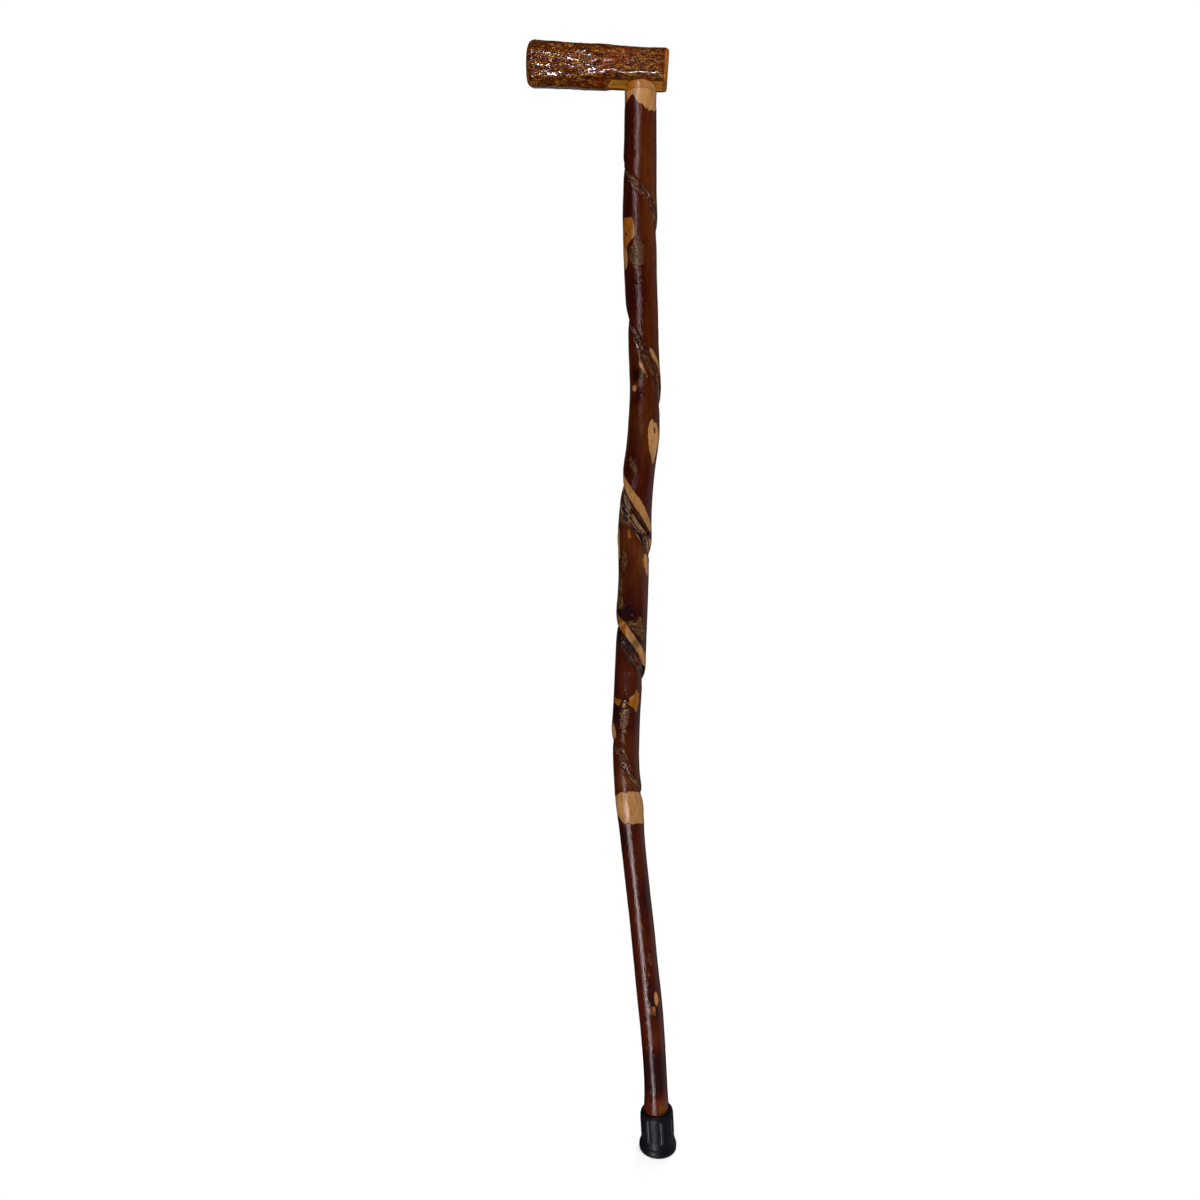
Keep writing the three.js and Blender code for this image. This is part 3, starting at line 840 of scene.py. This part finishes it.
# Rough fibres and the strand in the scar
scar_depth, paleness_and_shade_mark, thread_mark = split(read_mark(tree, "scar", "Vector"))
calm = read_mark(tree, "calm")
scar_edge = edge(scar_depth, grain, 1.4, 0.8)
on_scar = scar_edge["Inside"]
threads = streak(read_mark(tree, "vine_run", "Vector"), 0.9, 16.0)["Streak"]
thread_shade = times(threads, 1.45, -0.375)
thread_shade = times(thread_mark, 0.3, thread_shade)
# Pale worn fibres lighten the threads, and the painted shade under the lip darkens them
thread_shade = times(paleness_and_shade_mark, 0.26, thread_shade)
thread_shade = calc("MAXIMUM", thread_shade, times(calm, 0.44))
skin_colour = tint(on_scar, skin_colour, shades(thread_shade, SCAR_SHADES))
scar_line = times(scar_edge["Line"], times(calm, -0.25, 0.3))
skin_colour = tint(scar_line, skin_colour, SCAR_EDGE_DIRT)
# Painted shade and stain darken the hollows
sunk_stain_and_shade = times(fade(read_mark(tree, "hollow"), 0.1, 0.6), 0.65)
skin_colour = tint(sunk_stain_and_shade, skin_colour, HOLLOW_STAIN_AND_SHADE)

# Bare wood, with the dark line of stain round it
bare_mark = read_mark(tree, "bare")
bare_edge = edge(bare_mark, grain, 2.6, 0.8)
figure = use_group(wood_figure, {"Place": grain, "Ring width": 1.5})
wood_shade = times(figure["Rings"], 0.3, fade(figure["Fibres"], 0.2, 0.8))
wood = shades(wood_shade, WOOD_SHADES)
# Where the tone is high the wood is paler: lighter stain, and the painted light on the knuckle's
# left
wood = tint(fade(tone_mark, 0.3, 1.0), wood, PALER_WOOD, "MULTIPLY")
amber_wood = tint(wood_shade, LIGHT_AMBER, DARK_AMBER)
wood = tint(fade(read_mark(tree, "amber"), -0.6, 1.2), wood, amber_wood)
wood = tint(fade(tone_mark, -0.5, -1.0), wood, STAINED_WOOD)
wood = tint(fade(read_mark(tree, "knot_heart"), 0.15, 0.7), wood, HEART_BROWN)
wood = tint(times(fade(bare_mark, 1.2, 0.0), 0.25), wood, SOAKED_EDGE)
colour = tint(bare_edge["Line"], skin_colour, STAIN_LINE)
colour = tint(bare_edge["Inside"], colour, wood)

# Varnish with a fine ripple in it, thicker over the scar
roughness = times(streaks["Fibre"], 0.08, 0.02)
roughness = times(on_rough, 0.2, roughness)
ripple = noise(squeeze(grain, (0.9, 0.9, 0.5)), 1, 2, 0.6)
relief = times(ripple, times(on_scar, 0.5, 1))
relief = times(times(on_rough, crumbly), 0.3, relief)
relief = times(times(on_scar, thread_shade), 2.2, relief)
varnish = {
    "Base Color": colour,
    "Roughness": roughness,
    "Specular IOR Level": 0.5,
    "Specular Tint": (1, 0.83, 0.88, 1),
    "Coat Weight": times(on_scar, 0.6, 0.08),
    "Coat Roughness": 0.1,
    "Normal": bump(relief, 0.00032),
}
fill(shader, varnish)
stick.data.materials.append(stained_stick)
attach(stick, "root")
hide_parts("shaft")

# The handle: a short log with its bark on, glued crosswise on the stick's tenon. Its ends are
# rounded off, a flat is planed under it for the stick, and the whole log has thick gloss varnish.

LOG_RADIUS = 16.8
LOG_LEFT = -91.5
LOG_RIGHT = 21
LEFT_ROUNDING = 5.5
RIGHT_ROUNDING = 3.6
SEAT_DEPTH = 12.1
SEAT_LEFT = -23
SEAT_RAMP = 7
BARK_THICKNESS = 2
LOG_RINGS = 224
LOG_COLUMNS = 220
END_RINGS = 14
FACE_RINGS = 22

# Places where the bark is worn thin and the varnish shows it orange: along, across, up and reach
BARK_BLUSH = [
    [-31, -8, -14, 5],
    [-27, -15, -5, 5],
    [-22, -15, 2, 6],
    [-12, -13, 9, 7],
    [-68, 14, -6, 9],
    [-34, 10, 12, 8],
    [2, 15, 4, 7],
]


def log_rise(along, angle):
    """Rise of the bark over the log's plain round section"""
    ridges = 0.3 * np.sin(5 * angle + along / 23) + 0.2 * np.sin(11 * angle - along / 17)
    swell = 0.2 * np.sin(along / 19 + 2 * angle)
    hollow = -0.7 * np.exp(-(((along + 9) / 13) ** 2)) * np.maximum(0, np.cos(angle)) ** 2
    return ridges + swell + hollow


def smooth_end(inside, rounding):
    share = np.clip(1 - inside / rounding, 0, 1)
    return 0.9 * rounding * (1 - np.sqrt(1 - share * share))


end_bends = np.sin(np.linspace(0, math.pi / 2, END_RINGS))
left_places = LOG_LEFT + LEFT_ROUNDING * (1 - end_bends[::-1])
right_places = LOG_RIGHT - RIGHT_ROUNDING * (1 - end_bends)
middle_places = np.linspace(LOG_LEFT + LEFT_ROUNDING, LOG_RIGHT - RIGHT_ROUNDING, LOG_RINGS)[1:-1]
places = np.unique(np.concatenate([left_places, middle_places, right_places]))
angles = np.linspace(0, 2 * math.pi, LOG_COLUMNS, endpoint=False)[::-1]
along, angle = np.meshgrid(places, angles, indexing="ij")
bark_radius = LOG_RADIUS + log_rise(along, angle)
skin_y, skin_z = np.sin(angle) * LOG_RADIUS, np.cos(angle) * LOG_RADIUS
boss = lumps(along / 11, skin_y / 6, skin_z / 6, 21)
knob = lumps(along / 4.5, skin_y / 2.6, skin_z / 2.6, 22)
crumb = lumps(along / 1.5, skin_y / 1.1, skin_z / 1.1, 23)
crumb_rise = 0.07 + 0.06 * ease_up(np.cos(angle), 0.1, 0.5)
bark_radius += 0.65 * (boss - 1) + 0.17 * (knob - 1) + crumb_rise * (crumb - 1) + 0.38
left_bend = smooth_end(along - LOG_LEFT, LEFT_ROUNDING)
right_bend = smooth_end(LOG_RIGHT - along, RIGHT_ROUNDING)
rounded = bark_radius - left_bend - right_bend
past_seat = np.clip((SEAT_LEFT - along) / SEAT_RAMP, 0, 3)
flat_depth = SEAT_DEPTH + past_seat * (LOG_RADIUS - SEAT_DEPTH)
down = np.maximum(-np.cos(angle), 1e-3)
cut_radius = np.minimum(rounded, flat_depth / down)
under_skin = bark_radius - left_bend - cut_radius
log_rings = np.stack([along, np.sin(angle) * cut_radius, np.cos(angle) * cut_radius], -1)


def end_face(ring, shares):
    """Rings that close a sawn end, from its edge in to the pith"""
    pith = ring.mean(0)
    return np.array([pith + (ring - pith) * share for share in shares])


end_shares = np.linspace(0.97, 0.03, FACE_RINGS)
left_face = end_face(log_rings[0], end_shares)[::-1]
right_face = end_face(log_rings[-1], end_shares)
all_rings = np.concatenate([left_face, log_rings, right_face])
face_depth = np.repeat((1 - end_shares)[:, None] * LOG_RADIUS, angle.shape[1], 1)
skin_depth = np.concatenate([face_depth[::-1], under_skin, face_depth + RIGHT_ROUNDING])
log_grain = all_rings[..., [1, 2, 0]]
right_end = np.clip(all_rings[..., 0] - (LOG_RIGHT - RIGHT_ROUNDING - 0.4), -FAR, FAR)
blush = 0 * all_rings[..., 0]
for middle, side, lift, reach in BARK_BLUSH:
    away = ((all_rings[..., 0] - middle) / reach) ** 2
    away = away + ((all_rings[..., 1] - side) / 9) ** 2 + ((all_rings[..., 2] - lift) / 6) ** 2
    blush = np.maximum(blush, np.exp(-away))
placed = all_rings @ np.array(handle_turn).T + np.array(SEAT + out_of_seat * SEAT_DEPTH)
log_handle = lay_skin(
    "log_handle",
    placed,
    {"skin_depth": skin_depth, "right_end": right_end, "blush": blush, "grain": log_grain},
)

# Colour tables: place on the scale, red, green and blue
RED_SHADES = [
    [0.39, 0.01, 0.002, 0.0012],
    [0.47, 0.06, 0.006, 0.0006],
    [0.55, 0.13, 0.02, 0.0008],
    [0.62, 0.27, 0.085, 0.006],
    [0.72, 0.6, 0.32, 0.08],
]
GOLDEN_SHADES = [
    [0.37, 0.006, 0.0022, 0.0014],
    [0.46, 0.055, 0.01, 0.001],
    [0.53, 0.14, 0.042, 0.002],
    [0.6, 0.32, 0.14, 0.012],
    [0.7, 0.7, 0.45, 0.14],
]
FLAT_SHADES = [
    [0.1, 0.75, 0.36, 0.006],
    [0.55, 0.58, 0.23, 0.001],
    [1.0, 0.28, 0.085, 0.001],
]
BLUSH_RED = (0.17, 0.03, 0.001)
BLUSH_WARMTH = (1.2, 0.85, 0.5)
CRACK_BROWN = (0.02, 0.004, 0.003)
DARK_INNER_BARK = (0.11, 0.016, 0.001)
LIGHT_INNER_BARK = (0.24, 0.055, 0.004)
END_GRAIN = (0.55, 0.5, 1.6)
LATE_WOOD = (0.5, 0.38, 0.45)
HEARTWOOD = (0.62, 0.45, 0.55)
PITH_BROWN = (0.04, 0.014, 0.005)

# Bark: red and golden crumbs, dark cracks and the inner bark under them
varnished_bark, tree, shader = start_material("varnished_bark")
grain = read_mark(tree, "grain", "Vector")
skin_mark = read_mark(tree, "skin_depth")
end_mark = read_mark(tree, "right_end")
veins = streak(grain, 1.5, 5.0)["Streak"]
specks = crumble(grain, 1.0)
speck_shade = swing(veins, 0.6, specks)
golden_share = fade(streak(grain, 3.4, 11.0)["Streak"], 0.47, 0.6)
bark = tint(golden_share, shades(speck_shade, RED_SHADES), shades(speck_shade, GOLDEN_SHADES))
blush = times(read_mark(tree, "blush"), fade(veins, 0.3, 0.55))
bark = tint(times(blush, 0.4), bark, BLUSH_RED)
bark = tint(blush, bark, BLUSH_WARMTH, "MULTIPLY")
bark = tint(times(fade(veins, 0.4, 0.3), 0.7), bark, CRACK_BROWN)
inner_bark = tint(fade(veins, 0.35, 0.65), DARK_INNER_BARK, LIGHT_INNER_BARK)

# Wood of the flat and of the sawn ends, with growth rings, darker heartwood and the pith
figure = use_group(wood_figure, {"Place": grain, "Ring width": 1.9})
wood_shade = times(figure["Rings"], 0.45, fade(figure["Fibres"], 0.2, 0.8))
wood = shades(wood_shade, FLAT_SHADES)
wood = tint(fade(end_mark, -0.2, 0.6), wood, END_GRAIN, "MULTIPLY")
from_pith = distance(squeeze(grain, (1, 1, 0)))
growth = use_group(wood_figure, {"Place": grain, "Ring width": 3.1})["Rings"]
ring_line = times(fade(from_pith, 12, 11), fade(growth, 0.2, 0.8))
wood = tint(times(ring_line, 0.7), wood, LATE_WOOD, "MULTIPLY")
heart_reach = times(noise(grain, 0.13, 2), 6, from_pith)
wood = tint(times(fade(heart_reach, 10.5, 9), 0.8), wood, HEARTWOOD, "MULTIPLY")
wood = tint(fade(from_pith, 1.5, 0.7), wood, PITH_BROWN)

# Where the inner bark and the wood come out at the flat and the ends
on_cut = edge(calc("SUBTRACT", skin_mark, 0.4), grain, 0.4)["Inside"]
inner_share = calc("MAXIMUM", on_cut, fade(end_mark, -0.2, 0.2))
wood_depth = times(fade(end_mark, 0.9, 1.3), 3, skin_mark)
on_wood = edge(calc("SUBTRACT", wood_depth, BARK_THICKNESS), grain, 0.7)["Inside"]
colour = tint(inner_share, bark, inner_bark)
colour = tint(on_wood, colour, wood)

# Thick varnish on the bark and hardly any on the cuts
roughness = times(specks, 0.16, 0.04)
roughness = times(on_wood, 0.4, roughness)
on_bark = calc("SUBTRACT", 1, inner_share)
relief = times(times(veins, 1.2, specks), times(on_bark, 0.85, 0.15))
varnish = {
    "Base Color": colour,
    "Roughness": roughness,
    "Specular IOR Level": 0.3,
    "Specular Tint": (1, 0.84, 0.86, 1),
    "Coat Weight": times(on_bark, 0.77, 0.03),
    "Coat Roughness": 0.06,
    "Normal": bump(relief, 0.00015),
}
fill(shader, varnish)
log_handle.data.materials.append(varnished_bark)
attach(log_handle, "root")
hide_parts("handle")

# The foot: a moulded rubber cup with a flared base, eight thick ribs and a ringed tread. It is
# pushed over the stick's end and stays there by its own grip.

TREAD = [
    [4.5, 0], [4.5, 1], [6, 1], [6, 0], [9, 0], [9, 1], [10.5, 1], [10.5, 0], [15.8, 0],
    [16.4, 0.5],
]
FLARE = [
    [16.58, 1.6], [16.58, 4], [16.2, 5.6], [15.4, 7.3], [14.9, 9.4], [14.7, 11.5],
]
SLEEVE_RADIUS = 14.6
RIB_FOOT = 12.5
RIB_TOP = 32
RIM = [
    [14.6, 32.7], [14.2, 34.3], [13.3, 35.6], [12.4, 36.3], [11.7, 36.4],
]
RIB_COUNT = 8
RIB_BEARING = 10
RIB_PROFILE = [
    [-22.5, 0], [-8, 0], [-5, -0.45], [-2.2, 0.4], [2.2, 0.4], [5, -0.45], [8, 0],
    [22.5, 0],
]
RIB_ENDS = [
    [11.6, 12.9], [31.4, 32.8],
]
LEAN_HEIGHTS = (4, 36)
RIM_TILT = 0.1
CUP_RIM = 35.6
CUP_STEP = 1.5
CUP_FLOOR = 7
FOOT_COLUMNS = 288
PROFILE_STEPS = 96


def smooth_profile(table, steps):
    """Points along a profile at even distances"""
    rows = np.array(table, float)
    way = np.concatenate([[0], np.cumsum(np.hypot(*np.diff(rows, axis=0).T))])
    fine = np.linspace(0, way[-1], steps)
    return np.stack([np.interp(fine, way, rows[:, 0]), np.interp(fine, way, rows[:, 1])], -1)


def foot_ring(middle_x, middle_y, reach, height):
    """Ring of the foot, tilted with the stick towards the rim"""
    aside = np.sin(foot_turn) * reach
    lift = RIM_TILT * ease_up(height, *LEAN_HEIGHTS) * aside
    return np.stack([middle_x + aside, middle_y - np.cos(foot_turn) * reach, height + lift], -1)


column_turn = np.linspace(0, 360, FOOT_COLUMNS, endpoint=False)
foot_turn = np.radians(column_turn + RIB_BEARING)
rib_gap = 360 / RIB_COUNT
rib_place = (column_turn + rib_gap / 2) % rib_gap - rib_gap / 2
rib_rise = np.interp(rib_place, *np.array(RIB_PROFILE, float).T)
sleeve = [[SLEEVE_RADIUS, RIB_FOOT], [SLEEVE_RADIUS, RIB_TOP]]
outside = TREAD + smooth_profile(FLARE + sleeve + RIM, PROFILE_STEPS).tolist()
foot_rings = []
for reach, height in outside:
    rib_share = ease_up(height, *RIB_ENDS[0]) * (1 - ease_up(height, *RIB_ENDS[1]))
    lean = ease_up(height, *LEAN_HEIGHTS)
    middle_x, middle_y, wall = stick_at(height)
    reach = reach + rib_rise * rib_share
    foot_rings.append(foot_ring(middle_x * lean, middle_y * lean, reach, height))
for height in np.append(np.arange(CUP_RIM, CUP_FLOOR, -CUP_STEP), CUP_FLOOR):
    middle_x, middle_y, wall = stick_at(height)
    foot_rings.append(foot_ring(middle_x, middle_y, wall + JOINT_GAP, height))
foot_rings = np.array(foot_rings)
rib_crest = np.exp(-((rib_place / 1.1) ** 2)) + 0 * foot_rings[..., 0]
rubber_foot = lay_skin("rubber_foot", foot_rings, {"grain": foot_rings, "rib_crest": rib_crest})

RUBBER_BLACK = (0.0025, 0.0024, 0.005)
RUBBER_GREY = (0.008, 0.0075, 0.013)
SCUFF_GREY = (0.1, 0.1, 0.12)
RIB_HIGHLIGHT_AND_WEAR_GREY = (0.26, 0.26, 0.3)
GROUND_DUST = (0.09, 0.08, 0.07)

foot_rubber, tree, shader = start_material("foot_rubber")
grain = read_mark(tree, "grain", "Vector")
dust = crumble(grain, 0.6)
scuffs = streak(grain, 0.8, 9.0)["Streak"]
height_up = split(grain)[2]
sleeve = times(fade(height_up, 11, 13), fade(height_up, 33, 31))
colour = tint(fade(dust, 0.4, 0.65), RUBBER_BLACK, RUBBER_GREY)
scuff_share = times(fade(scuffs, 0.58, 0.68), sleeve)
colour = tint(times(scuff_share, 0.2), colour, SCUFF_GREY)
# Painted highlights, with wear: light grey lines along the rib crests, broken up by the scuff
# streaks
rib_highlight_and_wear = times(read_mark(tree, "rib_crest"), fade(scuffs, 0.3, 0.6))
colour = tint(times(times(rib_highlight_and_wear, sleeve), 0.8), colour, RIB_HIGHLIGHT_AND_WEAR_GREY)
ground_dust = times(fade(height_up, 3.0, 0.2), fade(dust, 0.4, 0.6))
colour = tint(times(ground_dust, 0.5), colour, GROUND_DUST)
rubber = {
    "Base Color": colour,
    "Roughness": times(dust, 0.24, 0.26),
    "Specular IOR Level": 0.2,
    "Normal": bump(dust, 0.0002, 0.4),
}
fill(shader, rubber)
rubber_foot.data.materials.append(foot_rubber)
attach(rubber_foot, "root")
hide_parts("ferrule")

# The washer: a stamped steel disc laid in the cup, which keeps the stick's end from cutting
# through the rubber. Its faces keep the fine marks of the rolled sheet.

CLEAN_STEEL = (0.56, 0.57, 0.59)
TARNISHED_STEEL = (0.36, 0.31, 0.26)

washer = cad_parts["ferrule_washer"]
washer_steel, tree, shader = start_material("washer_steel")
place = read(tree, "TexCoord")["Object"]
rolled = noise(squeeze(place, (300, 4000, 300)), 1, 3, 0.6)
tarnish = fade(noise(place, 260, 4, 0.6), 0.45, 0.7)
steel = {
    "Base Color": tint(tarnish, CLEAN_STEEL, TARNISHED_STEEL),
    "Metallic": 1,
    "Roughness": times(rolled, 0.25, 0.22),
    "Normal": bump(rolled, 0.00005, 0.3),
}
fill(shader, steel)
for slot in washer.material_slots:
    slot.material = washer_steel

# The photographer's table: a small round floor, seen from above only, in a white room. Two narrow
# lamps stand left of the camera and two gridded ones point at the handle. Soft light from the
# right and from behind makes no highlights, and the varnish mirrors a dim room.

FLOOR_RADIUS = 0.15
FLOOR_CORNERS = 96
SHADOW_RADIUS = 0.07
ROOM_FILL = 0.36
ROOM_SHEEN = 0.01
BACK_SHEEN = 0.15
LOW_SHEEN = 0.05
SIDE_SHEEN = 0.28
WHITE = (1, 1, 1, 1)

turn = np.linspace(0, 2 * math.pi, FLOOR_CORNERS, endpoint=False)
floor_rim = [(FLOOR_RADIUS * math.cos(t), FLOOR_RADIUS * math.sin(t), 0) for t in turn]
floor_mesh = bpy.data.meshes.new("floor")
floor_mesh.from_pydata(floor_rim, [], [tuple(range(FLOOR_CORNERS))])
floor = bpy.data.objects.new("floor", floor_mesh)
floor.visible_glossy = False
floor.visible_shadow = False
bpy.context.scene.collection.objects.link(floor)
white_floor, tree, shader = start_material("white_floor")
path = read(tree, "LightPath")
seen = calc("MAXIMUM", path["Is Camera Ray"], path["Is Glossy Ray"])
seen = calc("MAXIMUM", seen, path["Is Transmission Ray"])
from_middle = distance(read(tree, "TexCoord")["Object"])
own_white = times(fade(from_middle, SHADOW_RADIUS, FLOOR_RADIUS), 0.45, 0.55)
paper = {
    "Base Color": (0.8, 0.8, 0.8, 1),
    "Roughness": 0.9,
    "Specular IOR Level": 0,
    "Emission Color": WHITE,
    "Emission Strength": times(seen, own_white),
    "Alpha": calc("SUBTRACT", 1, read(tree, "NewGeometry")["Backfacing"]),
}
fill(shader, paper)
floor_mesh.materials.append(white_floor)

# The room: dim where the varnish mirrors it, but lighter behind, at the right and low in front
room = bpy.data.worlds.new("room")
room.use_nodes = True
bpy.context.scene.world = room
tree = room.node_tree
path = read(tree, "LightPath")
to_right, to_back, upwards = split(read(tree, "TexCoord")["Generated"])
back_share = times(fade(to_back, 0.85, 0.97), fade(upwards, -0.35, -0.1))
low_share = times(fade(upwards, 0.3, -0.05), fade(to_back, 0.2, -0.2))
side_share = times(fade(to_right, 0.5, 0.9), fade(to_back, -0.5, 0.2))
side_share = times(side_share, times(fade(upwards, 0.3, -0.1), 0.6, 0.4))
sheen = times(back_share, BACK_SHEEN, ROOM_SHEEN)
sheen = times(low_share, LOW_SHEEN, sheen)
sheen = times(side_share, SIDE_SHEEN, sheen)
fill_light = times(path["Is Glossy Ray"], calc("SUBTRACT", sheen, ROOM_FILL), ROOM_FILL)
seen = calc("MAXIMUM", path["Is Camera Ray"], path["Is Transmission Ray"])
strength = times(calc("SUBTRACT", 1, fill_light), seen, fill_light)
fill(tree.nodes["Background"], {"Color": WHITE, "Strength": strength})


def hang_lamp(name, width, height, power, place, target, gloss=True, spread=180):
    lamp = bpy.data.lights.new(name, "AREA")
    lamp.shape = "RECTANGLE"
    lamp.size, lamp.size_y, lamp.energy = width, height, power
    lamp.spread = math.radians(spread)
    holder = bpy.data.objects.new(name, lamp)
    holder.location = place
    holder.rotation_euler = (Vector(target) - Vector(place)).to_track_quat("-Z", "Y").to_euler()
    holder.visible_camera = False
    holder.visible_glossy = gloss
    bpy.context.scene.collection.objects.link(holder)


hang_lamp("high_lamp", 0.08, 1.4, 7.5, (-0.58, -1.17, 1.62), (-0.02, 0, 0.7))
hang_lamp("low_lamp", 0.09, 0.74, 3.9, (-0.54, -1.1, -0.46), (-0.02, 0, -0.46), spread=90)
hang_lamp("handle_lamp", 0.7, 0.06, 0.15, (-0.17, -1.2, 0), (-0.07, 0, 0.95), spread=14)
hang_lamp("wing_lamp", 0.6, 0.06, 0.11, (-0.3, -1.15, 1.45), (-0.07, 0, 1.0), spread=11)
hang_lamp("right_lamp", 0.6, 1.4, 7, (1.1, -0.9, 0.8), (-0.02, 0, 0.5), gloss=False)
hang_lamp("rear_lamp", 0.5, 1.4, 8, (0.55, 1.25, 0.9), (-0.02, 0, 0.5), gloss=False)

camera = bpy.data.cameras.new("camera")
camera.lens = 27
camera.sensor_width = 36
camera_holder = bpy.data.objects.new("camera", camera)
camera_holder.location = (-0.0518, -0.7566, 0.5653)
camera_holder.rotation_euler = (math.radians(84.5), 0, 0)
bpy.context.scene.collection.objects.link(camera_holder)
bpy.context.scene.camera = camera_holder
bpy.context.scene.view_settings.view_transform = "Standard"
